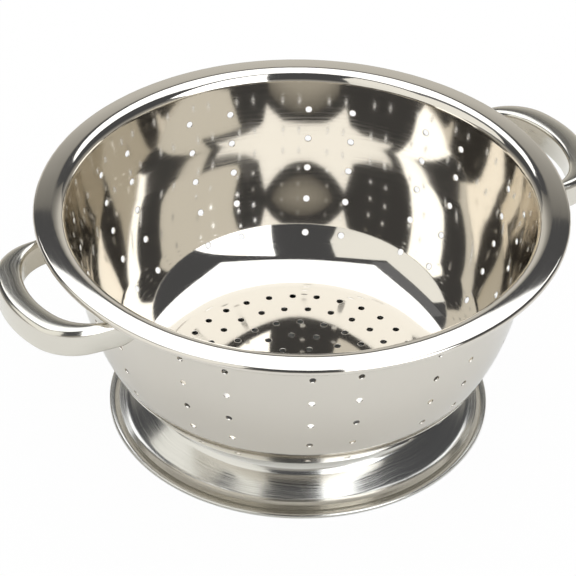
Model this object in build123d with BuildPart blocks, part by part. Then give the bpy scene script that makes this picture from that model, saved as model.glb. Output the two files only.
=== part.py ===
from build123d import *

import os
from math import acos, asin, cos, degrees, radians, sin, sqrt, tan

# Footed colander of polished stainless sheet, in millimetres.
# The origin is the middle of the foot's underside, +Z is up, the handles lie along X.

# Bowl: one drawn sheet, measured at the middle of its thickness
overall_height = 110.0
rim_diameter = 240.0
bowl_sheet = 0.6
corner_radius = 36.5
corner_turn_angle = 61.7
belly_radius = 125.0
wall_angle = 81.0

# Flattened rolled rim
rim_round_radius = 5.7
rim_flat_width = 6.8
rim_edge_radius = 1.4
rim_return = 7.5

# Wall holes: pairs of upright columns
hole_diameter = 3.0
pair_count = 11
pair_gap_angle = 11.7
pair_phase_angle = 21.2
row_count = 5
top_row_drop = 18.8
bottom_row_rise = 15.8

# Floor holes: rings about a middle hole
outer_ring_margin = 0.6
inner_ring_radius = 14.4
ring_counts = (30, 25, 19, 13, 7)
ring_phase_angles = (4.7, 12.9, 3.6, 13.9, 41.4)

# Foot: one spun ring with a welding flange on top and a hem at the bottom
foot_sheet = 0.5
flange_outset = 2.6
neck_outset = 10.4
neck_bend_radius = 1.5
neck_straight = 2.6
trumpet_radius = 9.5
foot_spread = 21.7
brim_width = 7.7
band_slope_angle = 8.0
step_turn_angle = 40.0
step_bend_radius = 1.0
step_drop = 1.3
hem_bend_radius = 0.35
hem_width = 3.6

# Handles: two bowed tubes, flattened towards their ends
handle_projection = 24.0
handle_rim_gap = 1.8
handle_height = 13.3
handle_depth = 11.6
handle_wall = 0.8
handle_half_width = 36.0
bow_radius = 60.0
corner_outer_radius = 24.0
corner_inner_radius = 22.0
bar_end_thickness = 4.0
splay_angle = 3.5
tube_edge_radius = 1.5

# Ears: the flattened tube ends, turned outwards along the wall
ear_thickness = 1.6
ear_length = 9.5
ear_height = 9.6
ear_corner_radius = 3.0
ear_top_gap = 0.8

# Spot welds
handle_weld_diameter = 3.0
handle_weld_margin = 0.7
handle_weld_outset = 1.2
foot_weld_diameter = 4.0
foot_weld_count = 8
weld_sink = 0.12

# One overrun for every cut
overrun = 4.0


def trace_bends(start, heading, steps, shift):
    """Draws one face of a bent sheet, shift to the left of its middle line.

    Each step is a straight run, then a bend of that middle radius and signed turn.
    """
    direction = Vector(1, 0).rotate(Axis.Z, heading)
    point = Vector(*start) + direction.rotate(Axis.Z, 90) * shift
    for run, radius, turn in steps:
        if run:
            point = Line(point, point + direction * run) @ 1
        if turn:
            reach = radius - shift if turn > 0 else radius + shift
            bend = JernArc(start=point, tangent=direction, radius=reach, arc_size=turn)
            point = bend @ 1
            direction = direction.rotate(Axis.Z, turn)
    return point


def bowl_wall(height):
    """Radius of the sheet's middle and its heading in degrees at a height on the wall."""
    if height < corner_top_height:
        heading = degrees(acos(1 - (height - floor_height) / corner_radius))
        return floor_flat_radius + corner_radius * sin(radians(heading)), heading
    if height < belly_top_height:
        climb = (height - corner_top_height) / belly_radius
        heading = degrees(acos(cos(radians(corner_turn_angle)) - climb))
        spread = sin(radians(heading)) - sin(radians(corner_turn_angle))
        return corner_top_radius + belly_radius * spread, heading
    return belly_top_radius + (height - belly_top_height) / tan(radians(wall_angle)), wall_angle


def wall_location(height, angle):
    """A place on the middle of the wall's sheet, its Z axis square to the sheet and outwards."""
    radius, heading = bowl_wall(height)
    spin = radians(angle)
    tilt = radians(heading)
    outwards = Vector(sin(tilt) * cos(spin), sin(tilt) * sin(spin), -cos(tilt))
    along = Vector(-sin(spin), cos(spin), 0)
    place = Vector(radius * cos(spin), radius * sin(spin), height)
    return Plane(origin=place, x_dir=along, z_dir=outwards)


# Foot heights, from the ground up to the bowl's floor
brim_height = foot_sheet / 2 + 2 * hem_bend_radius
band_end_height = brim_height + step_drop
trumpet_width = trumpet_radius * (1 - sin(radians(band_slope_angle)))
band_width = foot_spread + foot_sheet / 2 - brim_width - trumpet_width
band_run = band_width / cos(radians(band_slope_angle))
band_start_height = band_end_height + band_width * tan(radians(band_slope_angle))
neck_top_height = band_start_height + trumpet_radius * cos(radians(band_slope_angle)) + neck_straight
flange_bend_radius = corner_radius + bowl_sheet / 2 + foot_sheet / 2
flange_start_angle = degrees(asin(flange_outset / flange_bend_radius))
neck_bend_outset = neck_outset - foot_sheet / 2 - neck_bend_radius
centres_apart = flange_bend_radius + neck_bend_radius
flange_end_angle = degrees(asin(neck_bend_outset / centres_apart))
corner_centre_height = neck_top_height + centres_apart * cos(radians(flange_end_angle))
floor_height = corner_centre_height - corner_radius

# Bowl heights and radii, from the rim in to the floor's flat middle
corner_top_height = floor_height + corner_radius * (1 - cos(radians(corner_turn_angle)))
belly_rise = belly_radius * (cos(radians(corner_turn_angle)) - cos(radians(wall_angle)))
belly_top_height = corner_top_height + belly_rise
wall_top_height = overall_height - bowl_sheet / 2 - rim_round_radius * (1 - cos(radians(wall_angle)))
wall_run = (wall_top_height - belly_top_height) / sin(radians(wall_angle))
rim_flat_start = rim_diameter / 2 - bowl_sheet / 2 - rim_edge_radius - rim_flat_width
wall_top_radius = rim_flat_start - rim_round_radius * sin(radians(wall_angle))
belly_top_radius = wall_top_radius - wall_run * cos(radians(wall_angle))
belly_spread = belly_radius * (sin(radians(wall_angle)) - sin(radians(corner_turn_angle)))
corner_top_radius = belly_top_radius - belly_spread
floor_flat_radius = corner_top_radius - corner_radius * sin(radians(corner_turn_angle))

# Bowl
bowl_bends = [
    (floor_flat_radius, corner_radius, corner_turn_angle),
    (0, belly_radius, wall_angle - corner_turn_angle),
    (wall_run, rim_round_radius, -wall_angle),
    (rim_flat_width, rim_edge_radius, -180),
    (rim_return, 0, 0),
]
top_row_height = overall_height - top_row_drop
row_spacing = (top_row_height - floor_height - bottom_row_rise) / (row_count - 1)
column_angles = [
    pair_phase_angle + pair * 360 / pair_count + side * pair_gap_angle / 2
    for pair in range(pair_count)
    for side in (-1, 1)
]
wall_hole_places = [
    wall_location(top_row_height - row * row_spacing, angle)
    for row in range(row_count)
    for angle in column_angles
]
outer_ring_radius = floor_flat_radius - outer_ring_margin
ring_spacing = (outer_ring_radius - inner_ring_radius) / (len(ring_counts) - 1)

with BuildPart() as bowl:
    with BuildSketch(Plane.XZ):
        with BuildLine():
            lower_end = trace_bends((0, floor_height), 0, bowl_bends, -bowl_sheet / 2)
            upper_end = trace_bends((0, floor_height), 0, bowl_bends, bowl_sheet / 2)
            Line(lower_end, upper_end)
            Line((0, floor_height - bowl_sheet / 2), (0, floor_height + bowl_sheet / 2))
        make_face()
    revolve(axis=Axis.Z)
    with Locations(*wall_hole_places):
        Cylinder(radius=hole_diameter / 2, height=overrun, mode=Mode.SUBTRACT)
    with BuildSketch(Plane.XY.offset(floor_height - overrun / 2)):
        Circle(hole_diameter / 2)
        for ring, (count, phase_angle) in enumerate(zip(ring_counts, ring_phase_angles)):
            with PolarLocations(outer_ring_radius - ring * ring_spacing, count, start_angle=phase_angle):
                Circle(hole_diameter / 2)
    extrude(amount=overrun, mode=Mode.SUBTRACT)

# Foot ring: its flange lies on the bowl's corner, so it bends about the same centre
neck_middle_radius = floor_flat_radius + neck_outset - foot_sheet / 2
foot_radius = floor_flat_radius + neck_outset + foot_spread
outward_angle = band_slope_angle + step_turn_angle
step_bend_drop = step_bend_radius * (cos(radians(band_slope_angle)) + 1 - 2 * cos(radians(outward_angle)))
step_run = (step_drop - step_bend_drop) / sin(radians(outward_angle))
step_bend_width = step_bend_radius * (2 * sin(radians(outward_angle)) - sin(radians(band_slope_angle)))
step_width = step_bend_width + step_run * cos(radians(outward_angle))
brim_run = brim_width - foot_sheet / 2 - hem_bend_radius - step_width

foot_bends = [
    (0, flange_bend_radius, flange_end_angle - flange_start_angle),
    (0, neck_bend_radius, -90 - flange_end_angle),
    (neck_straight, trumpet_radius, 90 - band_slope_angle),
    (band_run, step_bend_radius, -step_turn_angle),
    (step_run, step_bend_radius, outward_angle),
    (brim_run, hem_bend_radius, -180),
    (hem_width, 0, 0),
]
flange_start = Vector(
    floor_flat_radius + flange_outset,
    corner_centre_height - flange_bend_radius * cos(radians(flange_start_angle)),
)
flange_edge = Vector(0, foot_sheet / 2).rotate(Axis.Z, flange_start_angle)

with BuildPart() as foot_ring:
    with BuildSketch(Plane.XZ):
        with BuildLine():
            outer_end = trace_bends(flange_start, flange_start_angle, foot_bends, foot_sheet / 2)
            inner_end = trace_bends(flange_start, flange_start_angle, foot_bends, -foot_sheet / 2)
            Line(outer_end, inner_end)
            Line(flange_start + flange_edge, flange_start - flange_edge)
        make_face()
    revolve(axis=Axis.Z)

# Handle sizes that follow from the rim above them and the wall they meet
handle_reach = rim_diameter / 2 + handle_projection
rim_underside_height = overall_height - bowl_sheet - 2 * rim_edge_radius
handle_top_height = rim_underside_height - handle_rim_gap
handle_bottom_height = handle_top_height - handle_height
wall_face_offset = bowl_sheet / 2 / sin(radians(wall_angle))
wall_bottom_radius = bowl_wall(handle_bottom_height)[0] + wall_face_offset
root_depth = sqrt(wall_bottom_radius ** 2 - handle_half_width ** 2) - overrun
inner_half_width = handle_half_width - bar_end_thickness
inner_bow_radius = bow_radius - handle_depth
outer_bow_angle = degrees(asin(
    (handle_half_width - corner_outer_radius) / (bow_radius - corner_outer_radius)))
inner_bow_angle = degrees(asin(
    (inner_half_width - corner_inner_radius) / (inner_bow_radius - corner_inner_radius)))
ear_centre_height = handle_top_height - ear_top_gap - ear_height / 2
ear_radius = bowl_wall(ear_centre_height)[0] + wall_face_offset
ear_angle = degrees(asin(handle_half_width / ear_radius) + ear_length / 2 / ear_radius)


def bar_side(reach, bow, bow_turn, corner):
    """One face of the tube in plan: half the bow, the corner and the run to the wall."""
    bow_arc = JernArc((reach, 0), (0, 1), bow, bow_turn)
    corner_arc = JernArc(bow_arc @ 1, bow_arc % 1, corner, 90 - splay_angle - bow_turn)
    run = ((corner_arc @ 1).X - root_depth) / cos(radians(splay_angle))
    return Line(corner_arc @ 1, (corner_arc @ 1) + (corner_arc % 1) * run) @ 1


def handle_outline(inset):
    """The tube's closed plan outline, its faces moved into the metal by inset."""
    outer_end = bar_side(
        handle_reach - inset, bow_radius - inset, outer_bow_angle, corner_outer_radius - inset)
    inner_end = bar_side(
        handle_reach - handle_depth + inset,
        inner_bow_radius + inset,
        inner_bow_angle,
        corner_inner_radius + inset,
    )
    Line(outer_end, inner_end)
    mirror(about=Plane.XZ)


def tube_edges(block):
    """The long edges of the tube, without those at its cut ends."""
    flat_faces = block.faces().filter_by(Axis.Z)
    return flat_faces.edges().filter_by(lambda edge: edge.center().X > root_depth + handle_wall)


def inside_outline(outset):
    """Half section of all that lies inside the bowl's outer face, grown by outset."""
    shift = bowl_sheet / 2 + outset
    top = trace_bends((0, floor_height), 0, bowl_bends[:3], -shift)
    Polyline(top, (0, top.Y), (0, floor_height - shift))


with BuildPart() as bowl_inside:
    with BuildSketch(Plane.XZ):
        with BuildLine():
            inside_outline(0)
        make_face()
    revolve(axis=Axis.Z)

with BuildPart() as ears:
    for side in (-1, 1):
        with BuildSketch(wall_location(ear_centre_height, side * ear_angle)):
            RectangleRounded(ear_length, ear_height, ear_corner_radius)
    extrude(amount=overrun, both=True)
    with BuildSketch(Plane.XZ):
        with BuildLine():
            inside_outline(ear_thickness)
        make_face()
    revolve(axis=Axis.Z, mode=Mode.INTERSECT)

with BuildPart() as tube_hollow:
    with BuildSketch(Plane.XY.offset(handle_bottom_height + handle_wall)):
        with BuildLine():
            handle_outline(handle_wall)
        make_face()
    extrude(amount=handle_height - 2 * handle_wall)
    fillet(tube_edges(tube_hollow), tube_edge_radius - handle_wall)

# Welds of the handles: two spots in each ear, from the middle of the bowl's sheet outwards
weld_depth = bowl_sheet / 2 + ear_thickness - weld_sink
weld_angle = ear_angle + degrees(handle_weld_outset / ear_radius)
weld_spacing = ear_height - handle_weld_diameter - 2 * handle_weld_margin
handle_weld_planes = [wall_location(ear_centre_height, side * weld_angle) for side in (-1, 1)]

with BuildPart() as handle_right_welds:
    for plane in handle_weld_planes:
        with BuildSketch(plane):
            with GridLocations(0, weld_spacing, 1, 2):
                Circle(handle_weld_diameter / 2)
    extrude(amount=weld_depth)

with BuildPart() as handle_weld_cuts:
    for plane in handle_weld_planes:
        with BuildSketch(plane):
            with GridLocations(0, weld_spacing, 1, 2):
                Circle(handle_weld_diameter / 2)
    extrude(amount=weld_depth + overrun)

with BuildPart() as handle_right:
    with BuildSketch(Plane.XY.offset(handle_bottom_height)):
        with BuildLine():
            handle_outline(0)
        make_face()
    extrude(amount=handle_height)
    fillet(tube_edges(handle_right), tube_edge_radius)
    add(tube_hollow.part, mode=Mode.SUBTRACT)
    add(ears.part)
    add(bowl_inside.part, mode=Mode.SUBTRACT)
    add(handle_weld_cuts.part, mode=Mode.SUBTRACT)

with BuildPart() as handle_left:
    add(handle_right.part, rotation=(0, 0, 180))

with BuildPart() as handle_left_welds:
    add(handle_right_welds.part, rotation=(0, 0, 180))

# Welds of the foot: spots round the flange, from the middle of the bowl's sheet down
foot_weld_tilt = radians((flange_start_angle + flange_end_angle) / 2)
foot_weld_radius = floor_flat_radius + corner_radius * sin(foot_weld_tilt)
foot_weld_height = corner_centre_height - corner_radius * cos(foot_weld_tilt)
foot_weld_planes = []
for spot in range(foot_weld_count):
    spin = radians((spot + 1 / 2) * 360 / foot_weld_count)
    place = Vector(foot_weld_radius * cos(spin), foot_weld_radius * sin(spin), foot_weld_height)
    down = Vector(sin(foot_weld_tilt) * cos(spin), sin(foot_weld_tilt) * sin(spin), -cos(foot_weld_tilt))
    foot_weld_planes.append(Plane(origin=place, x_dir=Vector(-sin(spin), cos(spin), 0), z_dir=down))

with BuildPart() as foot_ring_welds:
    for plane in foot_weld_planes:
        with BuildSketch(plane):
            Circle(foot_weld_diameter / 2)
    extrude(amount=bowl_sheet / 2 + foot_sheet - weld_sink)

with BuildPart() as foot_weld_cuts:
    for plane in foot_weld_planes:
        with BuildSketch(plane):
            Circle(foot_weld_diameter / 2)
    extrude(amount=bowl_sheet / 2 + foot_sheet + neck_bend_radius)

# Pockets in the bowl and the foot that the welds fill
with bowl:
    add(handle_right_welds.part, mode=Mode.SUBTRACT)
    add(handle_left_welds.part, mode=Mode.SUBTRACT)
    add(foot_ring_welds.part, mode=Mode.SUBTRACT)

with foot_ring:
    add(foot_weld_cuts.part, mode=Mode.SUBTRACT)

pieces = {
    "bowl": bowl,
    "foot_ring": foot_ring,
    "handle_left": handle_left,
    "handle_right": handle_right,
    "handle_left_welds": handle_left_welds,
    "handle_right_welds": handle_right_welds,
    "foot_ring_welds": foot_ring_welds,
}
os.makedirs("parts", exist_ok=True)
for name, piece in pieces.items():
    piece.part.label = name
    export_step(piece.part, f"parts/{name}.step")
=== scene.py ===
from math import asin, atan2, cos, pi, radians, sin, sqrt, tan

import bpy
import numpy as np
from bpy.props import (
    FloatProperty,
    FloatVectorProperty,
    IntProperty,
    IntVectorProperty,
    PointerProperty,
    StringProperty,
)
from bpy.types import NodeSocket, Operator, Panel, PropertyGroup
from mathutils import Matrix, Vector


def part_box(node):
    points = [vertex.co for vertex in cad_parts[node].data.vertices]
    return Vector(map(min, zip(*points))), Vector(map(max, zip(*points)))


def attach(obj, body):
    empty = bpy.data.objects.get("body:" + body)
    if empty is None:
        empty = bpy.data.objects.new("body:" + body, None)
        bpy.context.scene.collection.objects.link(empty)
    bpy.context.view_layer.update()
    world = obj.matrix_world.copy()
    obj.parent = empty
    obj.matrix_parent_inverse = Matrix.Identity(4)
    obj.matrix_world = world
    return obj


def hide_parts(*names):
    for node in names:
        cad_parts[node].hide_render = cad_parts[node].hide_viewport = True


bl_info = {
    "name": "Footed Steel Colander",
    "version": (1, 0, 0),
    "blender": (4, 5, 0),
    "location": "View3D > Sidebar > Colander",
    "description": "Dresses a packed footed colander in polished steel",
    "category": "Object",
}

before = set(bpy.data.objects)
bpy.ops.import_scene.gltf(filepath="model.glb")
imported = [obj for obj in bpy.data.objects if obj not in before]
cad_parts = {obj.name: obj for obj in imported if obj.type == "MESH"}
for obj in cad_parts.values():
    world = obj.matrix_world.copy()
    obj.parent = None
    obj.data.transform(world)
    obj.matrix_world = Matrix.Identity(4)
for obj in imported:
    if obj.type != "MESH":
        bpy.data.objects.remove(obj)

MM = 0.001
BODY = "root"

# Bend between the foot's band and its bead, and the slope from the bead's top down to the hem
STEP_RADIUS, BEAD_FALL = 0.5 * MM, radians(14)
# Longest run and widest turn between grid lines
WALL_STEP, WALL_TURN = 5 * MM, radians(7)
FOOT_STEP, FOOT_TURN = 3 * MM, radians(9)
HANDLE_STEP, HANDLE_TURN = 1.6 * MM, radians(6)
# Longest steps round the bowl between the cells of holes, and the way from the edge of the flat
# to the wall's first grid line
WALL_GAP, FLOOR_GAP = 5.5 * MM, 3.5 * MM
FLAT_MARGIN = 3 * MM
# Steps along a cell's side, and vertices round the cell
CELL_STEPS = 5
SPOKES = 4 * CELL_STEPS
# Sides of round pieces, points of a rounding, steps of a straight side, lines of a card, and
# samples along a curve that is searched
FOOT_SIDES, WELD_SIDES, PAPER_SIDES = 240, 24, 96
ROUND_STEPS, SIDE_STEPS, CARD_LINES = 8, 5, 17
WALL_SAMPLES, INNER_SAMPLES = 4000, 1200
# The bowl profile's bends where the straight upper wall starts and ends
WALL_START, WALL_END = 4, 5
# Half of a hole's barrel: radius in hole radii, depth in sheets, and tilt of the normal in degrees
HOLE_LIP = np.array([(1.20, 0.500, 0), (1.07, 0.496, 12), (1.02, 0.45, 45), (1.0, 0.36, 84)])
# A spot weld from its middle out and under: radius in spot radii, and height in millimetres
WELD_RADII = np.array([0.0, 0.3, 0.55, 0.72, 0.84, 0.94, 1.0, 1.02, 0.7, 0.0])
WELD_HEIGHTS = np.array([0.04, 0.04, 0.055, 0.10, 0.12, 0.07, 0.0, -0.12, -0.12, -0.12])
# The tube's corners in millimetres: outer top, outer bottom, inner bottom and inner top. The
# crease heights are added towards the ends, where the outer top corner slopes further down.
CORNER_DEPTHS = np.array([2.3, 1.7, 1.7, 1.9])
CORNER_HEIGHTS = np.array([2.2, 1.7, 1.7, 1.9])
CREASE_HEIGHTS = np.array([2.4, 0.0, 0.0, 0.0])
EAR_CORNER = 0.8 * MM
# Crowns of the tube's top and outer face, and the shares of them on its underside and inner face
TOP_CROWN, SIDE_CROWN = 0.45 * MM, 0.25 * MM
UNDER_SHARE, INNER_SHARE = 0.6, 0.4
# Way before the elbow in which the tube starts to flatten
SQUEEZE_RUN = 5 * MM

# The handles and the sides of the bowl that they are on
HANDLE_SIDES = (("handle_right", 1), ("handle_left", -1))
# How far the polishing lines wander, and over what width
DRIFT, DRIFT_WIDTH = 6 * MM, 40 * MM

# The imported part's own boxes, which the settings start from
bowl_low, bowl_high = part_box("bowl")
foot_low, foot_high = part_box("foot_ring")
handle_low, handle_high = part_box("handle_right")


def metres(name, description, default):
    """A length among the settings."""
    return FloatProperty(name=name, description=description, default=default, unit="LENGTH", precision=5)


def degrees(name, description, default):
    """An angle among the settings, given in degrees."""
    return FloatProperty(name=name, description=description, default=radians(default), subtype="ANGLE")


def number(name, description, default):
    """A plain number among the settings."""
    return FloatProperty(name=name, description=description, default=default)


def srgb(name, description, default):
    """A colour among the settings, as sRGB hex."""
    return StringProperty(name=name, description=description, default=default)


class BowlSettings(PropertyGroup):
    """Sizes of the drawn bowl, at the middle of its sheet."""

    rim_diameter: metres("Rim diameter", "Across the outside of the rolled rim", bowl_high.x - bowl_low.x)
    rim_height: metres("Rim height", "Top of the rim above the ground", bowl_high.z)
    floor_underside: metres("Floor underside", "Underside of the flat floor above the ground", bowl_low.z)
    sheet: metres("Sheet", "Thickness of the bowl's sheet", 0.6 * MM)
    corner_radius: metres("Corner radius", "Bend between the floor and the wall", 36.6 * MM)
    corner_turn: degrees("Corner turn", "Angle through which the corner bends", 62.6)
    belly_radius: metres("Belly radius", "Gentle bend above the corner", 126.2 * MM)
    belly_turn: degrees("Belly turn", "Angle through which the belly bends", 14.8)
    shoulder_radius: metres(
        "Shoulder radius", "Gentlest bend, where the belly runs out into the wall", 181.0 * MM)
    wall_angle: degrees("Wall angle", "Slope of the upper wall above level", 80.3)
    rim_round_radius: metres("Rim rounding", "Bend from the wall over into the rim", 5.7 * MM)
    rim_flat_width: metres("Rim width", "Nearly flat top of the rim", 6.8 * MM)
    rim_fall: degrees("Rim fall", "Slope of the rim's top where it leaves the inner rounding", 4.0)
    rim_crown: degrees("Rim crown", "Bend across the rim's top", 4.0)
    rim_edge_radius: metres("Rim edge radius", "Fold at the outside of the rim", 1.4 * MM)
    floor_crown: degrees("Floor crown", "Lean of the floor's surface at the crown's radius", 6.0)
    crown_radius: metres("Crown radius", "Radius of the floor's faint crown", 34.0 * MM)
    rim_return: metres("Rim return", "Sheet folded back under the rim", 7.5 * MM)


class HoleSettings(PropertyGroup):
    """Pattern of the punched holes."""

    diameter: metres("Hole diameter", "Bore of every drain hole", 3.0 * MM)
    cell: metres("Hole cell", "Side of the square of sheet that is meshed round a hole", 5.2 * MM)
    pair_count: IntProperty(
        name="Column pairs", description="Pairs of upright hole columns round the wall", default=11)
    pair_gap: degrees("Pair gap", "Angle between the two columns of a pair", 11.7)
    pair_phase: degrees("Pair phase", "Angle of the first pair from the right handle", 21.2)
    row_count: IntProperty(name="Rows", description="Holes in each column", default=5)
    top_row_drop: metres("Top row drop", "Top row below the top of the rim", 18.8 * MM)
    bottom_row_rise: metres("Bottom row rise", "Bottom row above the middle of the floor's sheet", 15.8 * MM)
    outer_ring_margin: metres(
        "Outer ring margin", "Outermost floor ring inside the edge of the flat", 0.6 * MM)
    inner_ring_radius: metres("Inner ring radius", "Innermost floor ring", 14.4 * MM)
    ring_counts: IntVectorProperty(
        name="Ring counts", description="Holes in each floor ring, from the outermost in",
        size=5, default=(30, 25, 19, 13, 7))
    ring_phases: FloatVectorProperty(
        name="Ring phases", description="Angle of the first hole of each ring, in degrees",
        size=5, default=(4.7, 12.9, 3.6, 13.9, 41.4))


class FootSettings(PropertyGroup):
    """Sizes of the spun foot ring, at the middle of its sheet."""

    diameter: metres("Foot diameter", "Across the outside of the hem", foot_high.x - foot_low.x)
    sheet: metres("Sheet", "Thickness of the foot's sheet", 0.5 * MM)
    spread: metres("Spread", "From the neck's outside to the edge of the hem", 20.7 * MM)
    flange_outset: metres("Flange outset", "Start of the welded flange outside the floor's flat", 2.6 * MM)
    neck_bend_radius: metres("Neck bend", "Bend from the flange down into the neck", 1.5 * MM)
    neck_straight: metres("Neck straight", "Upright part of the neck", 0.1 * MM)
    upper_radius: metres("Upper flare radius", "Start of the sweep below the neck", 10.4 * MM)
    upper_end: degrees("Upper flare end", "Slope at which the sweep widens", 65.0)
    flare_radius: metres("Flare radius", "Wide hollow sweep", 5.0 * MM)
    cone_run: metres("Cone run", "Straight slope between the sweep and the heel", 10.5 * MM)
    flare_end: degrees("Flare end", "Slope at which the sweep turns into the heel", 37.4)
    band_slope: degrees("Band slope", "Fall of the band between the sweep and the bead", 9.0)
    band_height: metres("Band height", "Middle of the sheet above the ground where the bead starts", 1.0 * MM)
    bead_width: metres("Bead width", "From the band to the edge of the hem", 5.6 * MM)
    bead_rise: degrees("Bead rise", "Slope up to the bead's top", 22.0)
    bead_bend_radius: metres("Bead bend", "Bend over the bead's top", 5.0 * MM)
    hem_bend_radius: metres("Hem bend", "Fold of the hem at the foot's edge", 0.55 * MM)
    hem_width: metres("Hem width", "Sheet folded back under the bead", 3.6 * MM)


class HandleSettings(PropertyGroup):
    """Sizes of the bowed tube handles."""

    reach: metres("Reach", "Outside of the bow from the colander's axis", handle_high.x)
    top: metres("Top height", "Top of the tube above the ground", handle_high.z)
    height: metres("Height", "Height of the tube's section", handle_high.z - handle_low.z)
    depth: metres("Depth", "Depth of the tube's section at the middle of the bow", 11.6 * MM)
    half_width: metres("Half width", "Half the handle's width between its corners' outsides", 36.0 * MM)
    bow_radius: metres("Bow radius", "Outside radius of the bow", 60.0 * MM)
    corner_outer_radius: metres("Outer corner", "Outside radius of the corners", 24.0 * MM)
    corner_inner_radius: metres("Inner corner", "Inside radius of the corners", 22.0 * MM)
    bar_end: metres("Bar end", "Depth of the tube where it is flattened towards the wall", 4.0 * MM)
    splay: degrees("Splay", "Angle by which the ends of the tube spread", 3.5)
    ear_thickness: metres("Ear thickness", "The flattened, welded end of the tube", 1.6 * MM)
    ear_length: metres("Ear length", "Ear along the wall", 9.5 * MM)
    ear_height: metres("Ear height", "Height of the ear", 9.6 * MM)
    ear_top_gap: metres("Ear gap", "Top of the ear below the top of the tube", 0.8 * MM)
    ear_corner_radius: metres("Ear corner", "Rounding of the ear's corners", 3.0 * MM)
    elbow_radius: metres("Elbow radius", "Hollow bend from the tube into the ear", 1.5 * MM)


class WeldSettings(PropertyGroup):
    """Sizes of the spot welds."""

    handle_diameter: metres("Handle weld", "Diameter of a spot in an ear", 3.0 * MM)
    handle_margin: metres("Handle weld margin", "Least sheet between a spot and the ear's edge", 0.7 * MM)
    handle_outset: metres("Handle weld outset", "Spots beyond the middle of the ear", 1.2 * MM)
    foot_diameter: metres("Foot weld", "Diameter of a spot in the foot's flange", 4.0 * MM)
    foot_count: IntProperty(name="Foot welds", description="Spots round the foot", default=8)


class FinishSettings(PropertyGroup):
    """Colours of the steel and of the studio, as sRGB hex."""

    bowl_steel: srgb("Bowl steel", "Mirror-polished sheet", "#d8d3ca")
    foot_steel: srgb("Foot steel", "Spun and buffed sheet", "#d3d1cb")
    handle_steel: srgb("Handle steel", "Tumble-polished tube", "#d7d3c9")
    weld_steel: srgb("Weld steel", "Bare weld nugget", "#aaa59c")
    weld_tint: srgb("Weld tint", "Straw heat tint round a weld", "#9a7f55")
    paper: srgb("Paper", "White paper sweep", "#f4f4f2")
    softbox: srgb("Softbox", "Overhead softbox", "#f8fbff")
    right_card: srgb("Right card", "White card", "#f8fbff")
    left_card: srgb("Left card", "Plain white card", "#f8f8f4")
    back_wall: srgb("Back wall", "Unpainted board", "#e8e6e0")
    room: srgb("Room", "Dim studio beyond the cards", "#545558")
    room_low: srgb("Low room", "Paper round the horizon", "#a9a7a2")


class StageSettings(PropertyGroup):
    """The studio and the camera."""

    softbox_level: number("Softbox level", "Brightness of the overhead softbox", 2.05)
    right_level: number("Right level", "Brightness of the right card", 3.0)
    left_level: number("Left level", "Brightness of the left card", 1.25)
    back_level: number("Back level", "Brightness of the back wall", 1.0)
    gap_level: number("Gap level", "Brightness of the studio between the softbox and the left card", 2.2)
    card_distance: metres("Card distance", "Cards from the object", 3.0)
    floor_radius: metres("Floor radius", "Radius of the paper floor", 1.2)
    fade_start: metres("Fade start", "Radius at which the floor starts to fade into white", 0.15)
    fade_end: metres("Fade end", "Radius beyond which the camera sees plain white", 0.45)
    floor_white: number(
        "Floor white", "Share of plain white that the camera sees in the floor beside the object", 0.97)
    floor_gloss: number(
        "Floor in reflections", "Share of plain white in the floor as the steel reflects it", 0.2)
    camera_azimuth: degrees("Camera azimuth", "Bearing of the camera from -Y towards +X", -28.7)
    camera_elevation: degrees("Camera elevation", "Height of the camera above level", 36.93)
    camera_roll: degrees("Camera roll", "Turn of the camera about its view", 1.07)
    camera_distance: metres("Camera distance", "Camera from its aim point", 1.4438)
    camera_aim: FloatVectorProperty(
        name="Camera aim", description="Point at the middle of the picture",
        default=(0.0, 0.0116, 0.0546), unit="LENGTH", precision=4)
    camera_lens: number("Camera lens", "Focal length in millimetres", 196.58)


def linear(hex_colour, level=1.0):
    """An sRGB hex value as linear red, green, blue and alpha, its light scaled by level."""
    channels = [int(hex_colour[i:i + 2], 16) / 255 for i in (1, 3, 5)]
    straight = [c / 12.92 if c <= 0.04045 else ((c + 0.055) / 1.055) ** 2.4 for c in channels]
    return (*[c * level for c in straight], 1.0)


def add_node(tree, kind, inputs=None, **settings):
    """Adds a node, sets its properties, and gives its inputs their values or links."""
    node = tree.nodes.new(kind)
    for name, value in settings.items():
        setattr(node, name, value)
    for socket, value in (inputs or {}).items():
        if isinstance(value, NodeSocket):
            tree.links.new(value, node.inputs[socket])
        else:
            node.inputs[socket].default_value = value
    return node


def smooth_step(low, high, value):
    """0 below low, 1 above high, and three times the square less twice the cube between."""
    t = np.clip((value - low) / (high - low), 0, 1)
    return t * t * (3 - 2 * t)


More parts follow.
